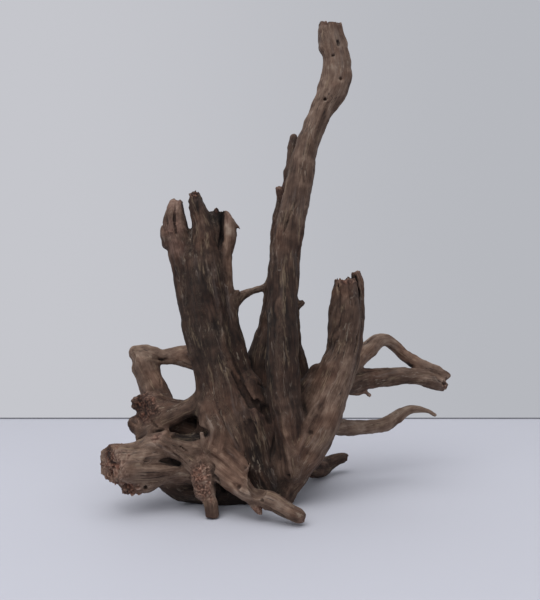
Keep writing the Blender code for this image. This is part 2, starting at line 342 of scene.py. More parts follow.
# %% Short stump
strand("short_stump", [
    (51.4, -14, 222, 9.4), (51.8, -14, 214, 11.3), (51.5, -14, 204, 13.8), (51, -14, 188, 16.6), (50, -14, 168, 16.8),
    (48, -16, 148, 16), (41.8, -19, 126, 18), (33.8, -22, 104, 19.6), (25.6, -26, 80, 20.6), (15.5, -30, 58, 19),
    (4, -33, 38, 16), (-4, -36, 20, 12), (-8, -36, 7, 8)], snapped=4, core=12, blend=5, lobes=0.06, twist=-0.005,
    tone=(0.2, -0.1, 0.1, 0.5, 0.5, 0.4, 0, -0.2))
strand("fork_web", [(21, -14, 128, 6), (17, -16, 116, 10), (8, -18, 100, 13)], blend=6, tone=-0.1)
strand("split_plate", [
    (62.5, -2, 229, 4.5), (65, -3, 221, 5.2), (67, -4, 208, 5.2), (67.5, -4, 188, 5.2), (65, -6, 162, 6.2),
    (58, -10, 137, 8), (48, -14, 113, 10)], snapped=3, blend=1.5, tone=-0.3)
strand("plate_back", [(60, 4, 224, 4), (61, 4, 206, 5), (62, 3, 180, 6), (58, 0, 150, 8), (50, -6, 120, 10)],
       snapped=5, blend=3, tone=-0.3)

# %% [markdown]
# Two side branches part behind the short stump and meet again at their tips. Below them a thin branch runs
# out and turns up. They are the palest wood, because they have stood clear of the wet ground.

# %% Side branches
strand("arch_upper", [
    (178, 65, 111.5, 4.4), (167, 66, 117, 6.2), (153, 68, 122, 7), (140, 70, 127.8, 7.2), (128, 70, 136.8, 7.2),
    (117, 68, 147, 7.2), (107, 64, 152, 7.4), (97, 60, 150.5, 8.2), (87, 54, 143.5, 9.6), (73, 46, 134.5, 11),
    (61, 36, 124, 11.5), (45, 22, 107, 13.5)], tone=(0.9, 1.0, 0.9, 0.7, 0.2), twist=0.012, lobes=0.09)
strand("arch_lower", [
    (177, 62, 99, 6), (167, 62, 103.5, 8.4), (155, 61, 108, 9.2), (140, 60, 111.6, 9), (123, 58, 112.4, 9.2),
    (99, 54, 111.6, 10.2), (78, 46, 111, 12.4), (58, 34, 110, 14), (34, 18, 103, 15), (7, 0, 95, 16.5)],
    snapped=4, core=9, tone=(0.5, 0.3, 0, 0, 0.2), twist=0.012, lobes=0.09)
strand("small_twig", [(86, 45, 93, 1.8), (80, 43, 97, 2.2), (73, 40, 96, 2.4), (63, 36, 98, 3), (49, 28, 103, 4)],
       tone=(1.0, 0.4))
strand("low_branch", [
    (161, 55, 68.8, 2), (154, 56, 72.8, 3), (145, 58, 74.4, 3.8), (136, 60, 74, 4.6), (127, 60, 70.5, 5.6),
    (119, 60, 64, 6.8), (109, 58, 58.5, 7.6), (95, 54, 56.3, 7.3), (76, 46, 57.2, 7.9), (52, 34, 60, 8.6),
    (29, 15, 63, 9), (7, -5, 63, 12)], tone=(0.9, 0.8, 0.6, 0.2), twist=0.01)

# %% [markdown]
# The arm loops from the broad stump out to an elbow and back down into a knuckle, where a crumbled break
# faces the front. A strap of wood runs from the thick stub up over a deep hollow.

# %% Looped arm
strand("looped_arm", [
    (-166, 22, 140.5, 8), (-161, 22, 141, 9.6), (-150, 24, 139.6, 9), (-139, 25, 137.4, 7.8), (-127, 24, 138, 10),
    (-112, 20, 138, 13), (-94, 12, 134, 13), (-73, -2, 122, 15)], tone=(0.7, 0.9, 1.0, 0.9, 0.5), lobes=0.12, blend=4)
strand("arm_drop", [
    (-164.5, 22, 139.5, 8.6), (-157.7, 20, 130, 14), (-152, 16, 116, 13.2), (-145, 10, 102, 14),
    (-139, 4, 89, 15)], tone=(0.8, 0.8, 0.5, 0.1), lobes=0.09, blend=5)
strand("knuckle", [(-156, -10, 93, 8.5), (-151, -10, 92, 13), (-144, -8, 88, 16), (-131, -6, 84, 14),
                   (-117, -2, 84, 11), (-98, -8, 86, 9)], blend=4, tone=-0.1)
strand("knuckle_lobe", [(-158.5, -13, 73, 8.5), (-152.5, -13, 70.5, 12.6), (-145, -12, 69, 14.2), (-126, -8, 69, 13),
                        (-104, -6, 62, 14)], blend=5, tone=-0.1)
strand("strap_back", [(-146, -17, 76, 9), (-131, -20, 81, 9.4), (-114, -20, 88, 8.4), (-97, -16, 95, 8.6)], blend=8,
       tone=0.1)
strand("strap", [(-150, -24, 61, 6), (-142, -26, 66, 7), (-130, -27, 75, 7), (-114, -26, 84.5, 6.6),
                 (-97, -22, 92, 6.8), (-88, -18, 102, 8)], tone=0.2, blend=6)

# %% [markdown]
# The thick stub at the front left ends in a crumbled face like a burl. One strand crosses over it, in two
# cords, and one runs under it. Below are the sole, the peg and the long front root.

# %% Thick stub and feet
strand("thick_stub", [
    (-180, -62, 46.5, 16.4), (-172, -62, 47, 18), (-164, -61, 46.5, 18.4), (-152, -59, 45, 18.8),
    (-138, -54, 43.5, 19.4), (-123, -45, 42, 19), (-103, -35, 41, 21), (-78, -25, 42, 23)], blend=5, lobes=0.06,
    tone=(0.8, 0.8, 0.7, 0.4, 0.2))
strand("stub_shoulder", [(-143, -50, 56, 11), (-134, -48, 58, 14), (-118, -45, 54, 14.5), (-102, -42, 47, 17),
                         (-88, -38, 44, 18)], blend=6, lobes=0.06, tone=0.4)
strand("under_strand", [(-163, -60, 25, 5), (-156, -60, 25, 7.4), (-148, -60, 26.5, 8.2), (-136, -60, 29, 8.6),
                        (-127, -56, 33, 8), (-110, -52, 35, 9), (-94, -48, 35, 10.4)], blend=3, snapped=3,
       tone=0.5)
strand("heart", [(-72, -15, 48, 26), (-54, -15, 36, 26), (-32, -15, 34, 24), (-10, -22, 37, 23.8)], blend=8)
strand("collar_left", [(-76, -18, 116, 9), (-78, -24, 92, 17), (-75, -32, 68, 22), (-68, -36, 50, 22)], blend=6,
       lobes=0.06)
strand("collar_middle", [(-46, -18, 112, 14), (-42, -22, 90, 19), (-36, -25, 62, 21), (-32, -27, 34, 21),
                         (-28, -28, 22, 20)], blend=7, lobes=0.04, tone=-0.5)
strand("collar_right", [(-14, -24, 110, 14), (-9, -26, 80, 17), (-8, -28, 50, 17), (-13, -28, 26, 15)], blend=6,
       lobes=0.06, tone=-0.2)
strand("stub_root", [(-124, -38, 58, 11), (-108, -38, 56, 16), (-92, -36, 54, 20), (-76, -30, 54, 22)], blend=7,
       lobes=0.08)
# The keel and the sole are toned dark: painted shade on the underside near the floor.
strand("keel", [(-126, -42, 29, 9.6), (-117, -38, 19.5, 10.4), (-106, -34, 14.5, 12), (-92, -30, 12.5, 12.8),
                (-68, -28, 12.5, 14.7)], blend=6, tone=-0.7)
strand("sole", [(-72, -28, 12.5, 14.7), (-48, -26, 14, 16), (-28, -28, 15, 16), (-14, -33, 13, 12)], blend=7,
       tone=-0.6)
strand("torn_lump", [(-90, -56, 45, 8), (-86, -60, 33, 10.4), (-83.5, -62, 23, 9.8)], blend=4, tone=0.4)
strand("peg", [(-77, -70, 0.5, 5.8), (-77, -69, 8, 6.2), (-79, -66, 14, 6.6), (-81, -62, 21, 7), (-84, -54, 34, 8)],
       blend=3, snapped=1, tone=(-0.6, 0.3, 0.4))
strand("front_root", [
    (7, -90, 7, 4), (4, -89, 7.8, 5.2), (-5.5, -87, 11, 6.6), (-13, -85, 14.5, 7), (-21, -82, 18, 7.8),
    (-32, -77, 20.5, 8.6), (-43, -72, 23, 9.4), (-52, -66, 28, 10.4), (-63, -60, 34, 11), (-74, -52, 42, 10.3),
    (-83, -42, 53, 9.6)], blend=3, tone=(0.3, 0.2, 0.3, 0.6, 0.7, 0.5), snapped=2)
strand("front_root_spur", [(-31.5, -81, 7.5, 2.2), (-34, -80, 10.5, 3.2), (-39, -75, 18, 5)], blend=2, snapped=2,
       tone=0.2)
strand("splinter", [(-42, -72, 50, 0.9), (-45, -70, 43, 1.6), (-50, -67, 34, 3)], blend=2, tone=0.4)
strand("root_cord_one", [(-86, -46, 63, 4), (-76, -55, 58, 4), (-63, -61, 50, 4), (-50, -67, 39, 4.4),
                         (-38, -71, 29, 5)], blend=2.5, tone=0.3)
strand("root_cord_two", [(-80, -42, 69, 4), (-69, -50, 62, 4), (-58, -56, 54, 4), (-47, -62, 42, 5)], blend=2.5,
       tone=0.2)

# %% [markdown]
# Three more feet spread out behind and keep the root from falling over backwards.

# %% Rear feet
strand("rear_right_foot", [
    (66, 78, 15.5, 3.8), (60, 75, 15.5, 5.8), (48, 68, 14, 7), (34, 56, 10.5, 9.6), (17, 36, 19, 12),
    (-3, 10, 41, 15)], snapped=5, tone=-0.5)
strand("rear_left_foot", [(-101, 91, 4, 6), (-90, 66, 11, 11), (-76, 30, 36, 16.2), (-63, 0, 64, 19)], snapped=3,
       blend=7)
strand("rear_middle_foot", [(9, 96, 3.5, 5.5), (-3, 72, 11, 10), (-17, 35, 34, 15.2), (-32, 0, 64, 19)], snapped=3,
       blend=7)
print(len(strands), "strands,", sum(len(s["along"]) for s in strands), "samples")

# %% [markdown]
# ## The field
#
# For each strand, every grid point near it finds its nearest sample. Its place is then told in the strand's
# own terms: two numbers across the strand, turned with the spiral grain, and one along it. The distance is
# how far out it is, less the radius there, and the flutes are noise that changes quickly round the strand
# and slowly along it. Where the end has snapped off, the wood is cut back by a different length for each
# bundle of fibres, which leaves splinters.

# %% Places in a strand's own terms
def in_strand(s, points, nearest):
    """Two numbers across the strand and one along it, for points whose nearest sample is known."""
    offset = points - s["middle"][nearest]
    along = s["along"][nearest] + (offset * s["heading"][nearest]).sum(-1)
    a = (offset * s["side"][nearest]).sum(-1)
    b = (offset * s["up"][nearest]).sum(-1)
    turn = s["twist"] * along
    return a * np.cos(turn) - b * np.sin(turn), a * np.sin(turn) + b * np.cos(turn), along


def strand_distance(s, points, nearest):
    """The distance to the strand's lobed, snapped skin, negative inside."""
    a, b, along = in_strand(s, points, nearest)
    out = np.hypot(a, b)
    radius = np.interp(along, s["along"], s["radius"])
    past = np.maximum(0, np.maximum(-along, along - s["along"][-1]))
    distance = np.hypot(out, past) - radius
    rim = np.maximum(out, 1e-6)
    flute = noise(np.stack([1.3 * a / rim, 1.3 * b / rim, along / 55], -1), s["seed"] + 1)
    knob = noise(points / 17, s["seed"] + 2)
    distance -= radius * s["lobes"] * (flute + 0.5 * knob)
    if s["snapped"]:
        bundles = noise(np.stack([a / 3.4, b / 3.4, 0 * a + 0.5], -1), s["seed"] + 3)
        fibres = noise(np.stack([a / 1.7, b / 1.7, 0 * a + 0.5], -1), s["seed"] + 4)
        kept_from = s["snapped"] * np.clip(0.5 + 0.55 * bundles + 0.25 * fibres, 0, 1.3)
        distance = np.maximum(distance, kept_from - along)
    if s["core"]:
        wall = 0.26 + 0.12 * noise(np.stack([a / 5, b / 5, along / 9], -1), s["seed"] + 5)
        distance = np.maximum(distance, np.minimum(radius * (1 - wall) - out, s["core"] - along))
    return distance


# %% The grid
PITCH = 1.2  # mm
FAR = 9.0  # mm; no distance further than this is worked out
low = np.array([-184.0, -105.0, -3.6])
high = np.array([186.0, 106.0, 487.0])
shape = np.ceil((high - low) / PITCH).astype(int) + 1
axes = [low[k] + PITCH * np.arange(shape[k], dtype=np.float32) for k in range(3)]
field = np.full(shape, FAR, np.float32)


def melted(one, other, width):
    """The union of two fields with a fillet: the lower one, lowered a little more where they are nearly equal.
    Away from the skin nothing is lowered, or many strands passing near would add up to wood in the open air."""
    lower = np.minimum(one, other)
    near = np.maximum(width - np.abs(one - other), 0) / width
    return lower - near * near * width * 0.25 * np.clip(2 - 4 * lower / width, 0, 1)


def block_round(middle, reach):
    """The slices of the grid that hold a ball."""
    start = np.clip(np.floor((middle - reach - low) / PITCH).astype(int), 0, shape - 1)
    stop = np.clip(np.ceil((middle + reach - low) / PITCH).astype(int) + 1, 1, shape)
    return tuple(slice(i, j) for i, j in zip(start, stop))


def nearest_samples(s):
    """Over the strand's block of the grid: the nearest sample to each point, and the rough distance to it."""
    start = np.min([[c.start for c in block_round(m, r + FAR)] for m, r in zip(s["middle"], s["radius"])], axis=0)
    stop = np.max([[c.stop for c in block_round(m, r + FAR)] for m, r in zip(s["middle"], s["radius"])], axis=0)
    rough = np.full(stop - start, FAR, np.float32)
    nearest = np.zeros(stop - start, np.int32)
    for j, (middle, radius) in enumerate(zip(s["middle"], s["radius"])):
        ball = block_round(middle, radius + FAR)
        x, y, z = (axes[k][ball[k]] - middle[k] for k in range(3))
        far = np.sqrt(x[:, None, None] ** 2 + y[None, :, None] ** 2 + z[None, None, :] ** 2) - radius
        inner = tuple(slice(c.start - i, c.stop - i) for c, i in zip(ball, start))
        closer = far < rough[inner]
        rough[inner][closer] = far[closer]
        nearest[inner][closer] = j
    return tuple(slice(i, j) for i, j in zip(start, stop)), rough, nearest


def add_strand(s):
    """Melts one strand into the field."""
    block, rough, nearest = nearest_samples(s)
    band = min(3 + 2 * s["radius"].max() * s["lobes"], FAR - 0.1)
    near = np.nonzero((rough < band) & (rough > -band - 6))
    points = np.stack([axes[k][block[k]][near[k]] for k in range(3)], -1)
    rough[near] = strand_distance(s, points, nearest[near])
    field[block] = melted(field[block], rough, s["blend"])


def wood_left():
    """The volume inside the field so far, in cubic centimetres: the grid points in wood times the cell."""
    return round(float((field < 0).sum() * PITCH ** 3 / 1000))


for s in strands:
    add_strand(s)
print("field", shape, "wood", wood_left(), "cm3")

# %% [markdown]
# ## What is missing
#
# Wood rots fastest where it stays wet: between strands, in old knots, and along cracks. Each of these is a
# line of stations too, but it is taken away from the field. A broken end is chopped off along a rough plane. A
# crack is told by x and z only and is laid on the skin as seen from the front.

# %% Cutting into the field
CUT_STEP = 1.2  # mm between the balls that make up a channel
CHOP_ROUGHNESS = 2.4  # mm


def remove(stations, fillet):
    """Takes a round channel through the stations away, with a rounded lip."""
    stations = np.array(stations, float)
    if len(stations) == 1:
        stations = np.vstack([stations, stations + (0, 0.5, 0, 0)])
    chord = chord_of(stations)
    samples = smooth_through(stations, chord, np.linspace(0, chord[-1], max(2, int(chord[-1] / CUT_STEP) + 1)))
    for x, y, z, radius in samples:
        ball = block_round(np.array([x, y, z]), radius + 4)
        dx, dy, dz = (axes[k][ball[k]] - c for k, c in enumerate((x, y, z)))
        room = radius - np.sqrt(dx[:, None, None] ** 2 + dy[None, :, None] ** 2 + dz[None, None, :] ** 2)
        field[ball] = -melted(-field[ball], -room, fillet)


def chop(middle, facing, reach):
    """Breaks the wood off along a rough plane that faces this way, inside a ball of this reach."""
    ball = block_round(np.array(middle), reach)
    offset = np.stack(np.meshgrid(*(axes[k][ball[k]] - middle[k] for k in range(3)), indexing="ij"), -1)
    beyond = offset @ unit(np.array(facing)) + CHOP_ROUGHNESS * noise((offset + middle) / 9, 71)
    field[ball] = np.maximum(field[ball], np.minimum(beyond, reach - np.linalg.norm(offset, axis=-1)))


def late_strand(name, stations, **looks):
    """A strand that is melted in at once, after wood has been cut away there."""
    strand(name, stations, **looks)
    add_strand(strands[-1])


# %% [markdown]
# The hollow in the side of the thick stub is three channels, one inside the other: a mouth, a pocket behind
# it and a floor. A lip and a spur of sound wood are put back at its edge once it is cut.

# %% Side hollow
remove([(-122, -52, 71, 2.2), (-113, -51, 71.5, 4.6), (-104, -50, 72.5, 6.6), (-95, -51, 74, 7.8),
        (-87.5, -54, 73.5, 6.4), (-83, -55, 72.5, 3.6)], fillet=0.8)
remove([(-110, -38, 72, 6), (-101, -33, 74, 9), (-93, -32, 75, 8.8), (-86, -40, 73, 6)], fillet=2)
remove([(-112, -45, 69.5, 5), (-101, -44, 69, 7.4), (-91, -43, 70, 7.4), (-86, -44, 71, 6)], fillet=1)
late_strand("hollow_lip", [(-127, -54, 68, 2.2), (-116, -55, 65.5, 3), (-103, -56.5, 62, 3.2), (-90, -53, 58, 3)],
            blend=4, tone=0.2)
late_strand("hollow_spur", [(-83, -54, 58, 3), (-86, -53, 65, 2.4), (-88, -52, 73, 1.3)], blend=1.5, tone=0.8)
print("side hollow cut,", wood_left(), "cm3 left")

# %% Broken ends
TOOTH_GAP = [(-111, 303, 4.6), (-110, 296, 3.7), (-108.6, 287, 2.6), (-106.6, 278, 1.8)]  # x, z, radius
BROKEN_RIM = [(43, 221.5, 1.9), (50.5, 220.5, 2.3), (57.5, 222, 1.7)]  # the short stump's: x, z, radius
for notches, front, back in ((TOOTH_GAP, -28, 18), (BROKEN_RIM, -32, -4)):
    for x, z, radius in notches:
        remove([(x, front, z, radius), (x, back, z, radius)], fillet=0.6 if notches is TOOTH_GAP else 0.8)
chop((-168, -66, 46), (-0.72, -0.69, 0.05), 34)
late_strand("stub_corner", [(-175.5, -58, 58, 4.2), (-166, -56, 56, 8)], blend=2, snapped=1)
chop((-148, -20, 92), (-0.4, -0.88, 0.25), 20)
print("ends broken,", wood_left(), "cm3 left")


# %% Cracks, knots and worm holes
def front_skin(x, z):
    """The y at which a line towards +y at this x and z first meets wood."""
    i, k = np.rint((np.array([x, z]) - low[[0, 2]]) / PITCH).astype(int)
    inside = np.flatnonzero(field[i, :, k] < 0)
    return axes[1][inside[0]] if len(inside) else 0.0


def crack(depth, line, fillet=0.8):
    """Opens a crack along a line of (x, z, radius) laid on the front skin, its middle this deep below it."""
    remove([(x, front_skin(x, z) + depth, z, radius) for x, z, radius in line], fillet)


CRACKS = [  # depth, then the line
    # the slot in the thick stub, in three passes
    (1.2, [(-127, 49.6, 1.4), (-120, 49, 2.8), (-113, 47.2, 3.4), (-106, 45, 1.8)]),
    (3, [(-124, 48.8, 0.9), (-118, 48, 2), (-112, 46.6, 2.5), (-108, 45.4, 1.4)]),
    (4, [(-120, 48, 1.5), (-112, 46.6, 2)]),
    # down from the broken ends of the two stumps
    (0.2, [(44, 214, 0.6), (45, 203, 1), (44, 190, 0.6)]),
    (0.2, [(54, 215, 0.6), (54, 204, 1), (56, 193, 0.6)]),
    (0.3, [(-120, 295, 0.8), (-121, 281, 1.2), (-119, 265, 1)]),
    (0.2, [(-128, 283, 0.7), (-127.5, 272, 1.1), (-124, 260, 0.8)]),
    (0.3, [(-98, 300, 0.8), (-96, 285, 1.1), (-93, 268, 0.7)]),
    (0.1, [(-92, 258, 0.6), (-90, 238, 0.9), (-88, 216, 0.6)]),
    # beside the peg, and the seam of the broad stump's right tooth
    (0.6, [(-80, 48, 0.7), (-76, 43, 1.6), (-77, 39, 1.2), (-72, 34, 1.6), (-70, 30, 0.8)]),
    (1, [(-71, 23, 2.2), (-68, 17, 2.4)]),
    (0.4, [(-73, 288, 2), (-73, 278, 2.4), (-74, 264, 2.4), (-76, 250, 1.4)]),
    # the long cleft down the front, and the wide dish below it
    (1.6, [(-67, 138, 1.2), (-62, 130, 1.8), (-55, 118, 3), (-48, 107, 4), (-42, 97, 4.2)]),
    (0.6, [(-58, 134, 0.8), (-54, 126, 1.4), (-50, 118, 1)]),
    (1, [(-40, 101, 3), (-33, 95, 5), (-27, 90, 5), (-24, 82, 3)]),
    (0.2, [(-21, 84, 1.4), (-20, 70, 2), (-21, 56, 2), (-24, 44, 1.2)]),
    (-7.5, [(-44, 78, 10), (-40, 62, 11), (-36, 44, 11), (-35, 30, 8)]),
    # the tall branch, and behind the short stump's plate
    (0.3, [(2, 294, 0.6), (-3, 284, 0.9), (-7, 274, 1), (-11, 262, 0.8)]),
    (0.4, [(63, 222, 1), (66, 205, 1.4), (66, 185, 1.4), (63, 165, 1.2), (58, 146, 0.9)]),
    (0.8, [(43, 456, 1.2), (44, 451, 2)])]
PITS = [(39, 441, 1.5), (46, 417, 2), (31, 397, 1.8), (15, 72, 2), (-6, 33, 1.8), (-52, 30, 1.6), (-31, 21, 1.6),
        (133, 82, 1.4), (-138, 27, 2)]  # x, z, radius
crack(-1.6, [(-137, 51, 2.4), (-128, 50.6, 4), (-120, 49.6, 5), (-112, 48, 4.6), (-104, 46, 2.6)], fillet=3)
for depth, line in CRACKS:
    crack(depth, line)
for pit in PITS:
    crack(0.5, [pit])
print(len(CRACKS), "cracks,", len(PITS), "pits,", wood_left(), "cm3 left")

# %% [markdown]
# Where the wood is harder it has worn less and stands proud, in ribs down the stumps, cords over the stub and
# wrinkles at the bends of the arm. These are strands, so the grain follows them, but like the cracks they are
# laid on the front skin.

# %% Ribs, cords and wrinkles
STRAIGHT, ROPY = 0.004, 0.03  # how fast the grain turns, in radians per mm
RIDGES = [  # name, depth of its middle, blend, tone, twist, and its line of (x, z, radius)
    ("fork_ridge_left", 1.2, 4, 0.9, STRAIGHT, [(-12, 90, 2), (-10, 76, 3), (-6, 64, 3), (-1, 54, 2.2)]),
    ("fork_ridge_right", 1.2, 4, 0.7, STRAIGHT, [(22, 98, 2), (15, 84, 2.8), (8, 70, 3), (1, 55, 2.2)]),
    ("fork_ridge_low", 1.8, 5, 0.3, STRAIGHT, [(4, 50, 2), (3, 40, 3), (0, 30, 2.4)]),
    ("collar_ridge_one", 1.2, 4, 0.3, STRAIGHT, [(-92, 97, 1.8), (-83, 86, 3), (-77, 73, 3.4), (-80, 60, 2.6)]),
    ("collar_ridge_two", 1.2, 4, 0.2, STRAIGHT, [(-84, 101, 1.8), (-75, 88, 3), (-69, 72, 3.2), (-70, 58, 2.4)]),
    ("stump_seam", 1.2, 3, 0.6, STRAIGHT,
     [(-75, 196, 1.4), (-72, 172, 2.2), (-68, 150, 2.4), (-61, 130, 2.2), (-56, 116, 1.6)]),
    ("stump_rib_left", 1.6, 5, -0.2, STRAIGHT, [(-101, 232, 1.6), (-96, 196, 2.6), (-89, 158, 2.6), (-83, 128, 1.6)]),
    ("stump_rib_middle", 1.5, 5, -0.1, STRAIGHT,
     [(-86, 240, 1.6), (-85, 205, 2.4), (-80, 160, 2.6), (-74, 118, 2.4), (-70, 92, 1.6)]),
    ("trunk_rib_low", 1.5, 5, 0.3, STRAIGHT, [(-66, 96, 1.8), (-58, 76, 3), (-52, 58, 2.8), (-49, 44, 1.8)]),
    ("crack_lip", 1.2, 2, 0.9, STRAIGHT, [(-64, 134, 1.4), (-58, 122, 2), (-51, 112, 2), (-45, 104, 1.4)]),
    ("tall_lit_rib", 1.6, 5, 0, STRAIGHT, [(-14, 190, 1.6), (-15, 165, 2.6), (-15, 140, 2.6), (-13, 110, 1.6)]),
    ("stub_cord_one", 0.5, 2.5, (0.2, 0.7, 0.4), ROPY,
     [(-125, 70, 2.4), (-117, 65, 3), (-108, 60.5, 3.4), (-97, 56, 3.4)]),
    ("stub_cord_two", 0.6, 2.5, (0.6, 1.1, 1.0, 0.4), ROPY,
     [(-142, 62, 2.4), (-131, 63, 3.4), (-120, 58.5, 4), (-107, 49.5, 4), (-97, 41, 3.4)]),
    ("stub_cord_three", 0.5, 2.5, (0.2, 0.6, 0.1), ROPY,
     [(-127, 66, 2.2), (-116, 60, 3), (-106, 54, 3.2), (-95, 47, 3)]),
    ("stub_cord_four", 1.2, 3, 0.5, ROPY, [(-112, 57, 2), (-103, 50, 2.6), (-96, 43, 2.4), (-91, 34, 2)]),
    ("stub_swirl", 0.8, 3, 0.6, STRAIGHT,
     [(-139, 66, 1.8), (-138, 71, 2.2), (-133, 74.5, 2.4), (-127, 73, 2.4), (-124.5, 69, 2.2)]),
    ("tooth_rib_left", 0.9, 2.5, 0.4, STRAIGHT, [(-124.5, 297, 1.2), (-125, 281, 2.2), (-122, 262, 1.8)]),
    ("tooth_rib_right", 0.9, 2.5, 0.2, STRAIGHT, [(-116.5, 300, 1.2), (-116, 284, 2), (-114, 266, 1.6)]),
    ("elbow_wrinkle", 0.6, 3, 0.6, STRAIGHT, [(-164, 136, 1.4), (-156, 142, 2.2), (-146, 141, 2), (-137, 137, 1.6)]),
    ("elbow_wrinkle_two", 0.4, 2.5, 0.2, STRAIGHT,
     [(-152, 136, 1.4), (-143, 133, 2), (-134, 131, 2), (-126, 133, 1.4)]),
    ("arm_wrinkle", 0.4, 2.5, 0.4, STRAIGHT, [(-120, 140, 1.4), (-111, 143, 2), (-103, 140, 1.6)]),
    ("drop_wrinkle", 0.9, 3, 0.5, STRAIGHT, [(-160, 130, 1.4), (-155, 120, 2), (-150, 108, 2), (-148, 99, 1.4)])]
for name, depth, blend, tone, twist, line in RIDGES:
    late_strand(name, [(x, front_skin(x, z) + depth, z, radius) for x, z, radius in line], blend=blend, tone=tone,
                twist=twist)
print(len(RIDGES), "ridges,", len(strands), "strands in all,", wood_left(), "cm3")

# %% Small cracks between the cords and wrinkles
SMALL_CRACKS = [  # depth, then the line
    (0.4, [(-134, 69, 1.8), (-130, 69, 2)]), (0.2, [(-147, 137, 0.8), (-140, 135, 1.2), (-132, 135, 0.8)]),
    (0.2, [(-116, 134, 0.9), (-110, 131, 1.3), (-104, 130, 0.9)]),
    (0.3, [(-143, 122, 0.8), (-139, 116, 1.2), (-137, 109, 0.8)])]
for x, z, radius in [(-137, 77, 1.4), (-128, 64, 1), (-118, 60.5, 1), (-110, 54, 1), (-104, 60, 0.9)]:
    SMALL_CRACKS.append((0.3, [(x - 3, z + 2, radius), (x, z, radius), (x + 4, z - 2.5, 0.8 * radius)]))
for depth, line in SMALL_CRACKS:
    crack(depth, line)

field = np.maximum(field, -axes[2][None, None, :])  # worn flat where it stands
print(len(SMALL_CRACKS), "small cracks,", wood_left(), "cm3 of wood in the end")

# %% [markdown]
# ## The skin
#
# Surface nets find the skin: each grid cell that the surface passes through gets one point, at the mean of
# where the surface crosses the cell's edges, and each grid edge that the surface crosses gets one
# four-sided face between the four cells around it. The faces come out even and close up by themselves.

# %% Surface nets
def surface_nets(values):
    """Points in grid units, and four-sided faces that look outwards."""
    inside = values < 0
    corners = sum(inside[i:i - 1 or None, j:j - 1 or None, k:k - 1 or None].astype(np.uint8)
                  for i, j, k in np.ndindex(2, 2, 2))
    active = (corners > 0) & (corners < 8)
    cells = np.argwhere(active)
    index = np.full(active.shape, -1, np.int32)
    index[active] = np.arange(len(cells))
    total, count = np.zeros((len(cells), 3)), np.zeros(len(cells))
    faces = []
    for axis in range(3):
        ahead = np.eye(3, dtype=int)[axis]
        others = [k for k in range(3) if k != axis]
        for i, j in np.ndindex(2, 2):
            corner = np.zeros(3, int)
            corner[others] = i, j
            here, there = cells + corner, cells + corner + ahead
            one, two = values[tuple(here.T)], values[tuple(there.T)]
            crossed = (one < 0) != (two < 0)
            share = one[crossed] / (one[crossed] - two[crossed])
            total[crossed] += corner + ahead * share[:, None]
            count[crossed] += 1
        lower = tuple(slice(0, -1) if k == axis else slice(1, -1) for k in range(3))
        upper = tuple(slice(1, None) if k == axis else slice(1, -1) for k in range(3))
        edges = np.argwhere(inside[lower] != inside[upper]) + [0 if k == axis else 1 for k in range(3)]
        leaving = inside[tuple(edges.T)]
        one, two = (np.eye(3, dtype=int)[(axis + k) % 3] for k in (1, 2))
        ring = np.stack([index[tuple((edges - c).T)] for c in (one + two, two, 0 * one, one)], 1)
        ring[~leaving] = ring[~leaving, ::-1]
        faces.append(ring)
    return cells + total / count[:, None], np.vstack(faces)


def edges_of(faces):
    """Both end points of every side of every face."""
    return np.vstack([faces[:, [0, 1]], faces[:, [1, 2]], faces[:, [2, 3]], faces[:, [3, 0]]])


def largest_piece(points, faces):
    """Drops loose crumbs: each point takes the lowest number among its neighbours until nothing changes."""
    edges = edges_of(faces)
    label = np.arange(len(points))
    while True:
        lowest = np.minimum(label[edges[:, 0]], label[edges[:, 1]])
        fresh = label.copy()
        np.minimum.at(fresh, edges[:, 0], lowest)
        np.minimum.at(fresh, edges[:, 1], lowest)
        fresh = fresh[fresh]
        if (fresh == label).all():
            break
        label = fresh
    keep = label == np.bincount(label).argmax()
    renumber = np.cumsum(keep) - 1
    return points[keep], renumber[faces[keep[faces].all(1)]]


points, faces = surface_nets(field)
points, faces = largest_piece(points, faces)
points = low + PITCH * points
print("skin", len(points), "points", len(faces), "faces")

# %% [markdown]
# ## Relief
#
# Dry wood is furrowed along its grain: narrow V-shaped cracks, rounded ribs between them, and fine fibres.
# Each is noise in a strand's own terms, stretched along it. Where strands melt together, each point takes
# the relief of all the strands near it, weighted by how near they are, so the grain flows from one into the
# next. The torn faces are crumbled instead.

# %% Which strands a point belongs to
def face_normals_at_points(points, faces):
    """Each point's normal: the sum of its faces' normals, which are the cross products of their diagonals."""
    across = np.cross(points[faces[:, 2]] - points[faces[:, 0]], points[faces[:, 3]] - points[faces[:, 1]])
    summed = np.stack([np.bincount(faces.ravel(), np.repeat(across[:, k], 4), len(points)) for k in range(3)], 1)
    return unit(summed + 1e-12)


def relaxed(values, faces, rounds):
    """Each value is moved halfway to the mean of its neighbours, a few times."""
    edges = edges_of(faces)
    count = np.bincount(edges.ravel(), minlength=len(values))
    for _ in range(rounds):
        if values.ndim == 1:
            summed = (np.bincount(edges[:, 0], values[edges[:, 1]], len(values))
                      + np.bincount(edges[:, 1], values[edges[:, 0]], len(values)))
            values = 0.5 * values + 0.5 * summed / count
        else:
            values = np.stack([relaxed(values[:, k], faces, 1) for k in range(3)], 1)
    return values


points = relaxed(points, faces, 1)
normals = face_normals_at_points(points, faces)
SHARE_WIDTH = 2.2  # mm: how softly the grain of one strand gives way to the next

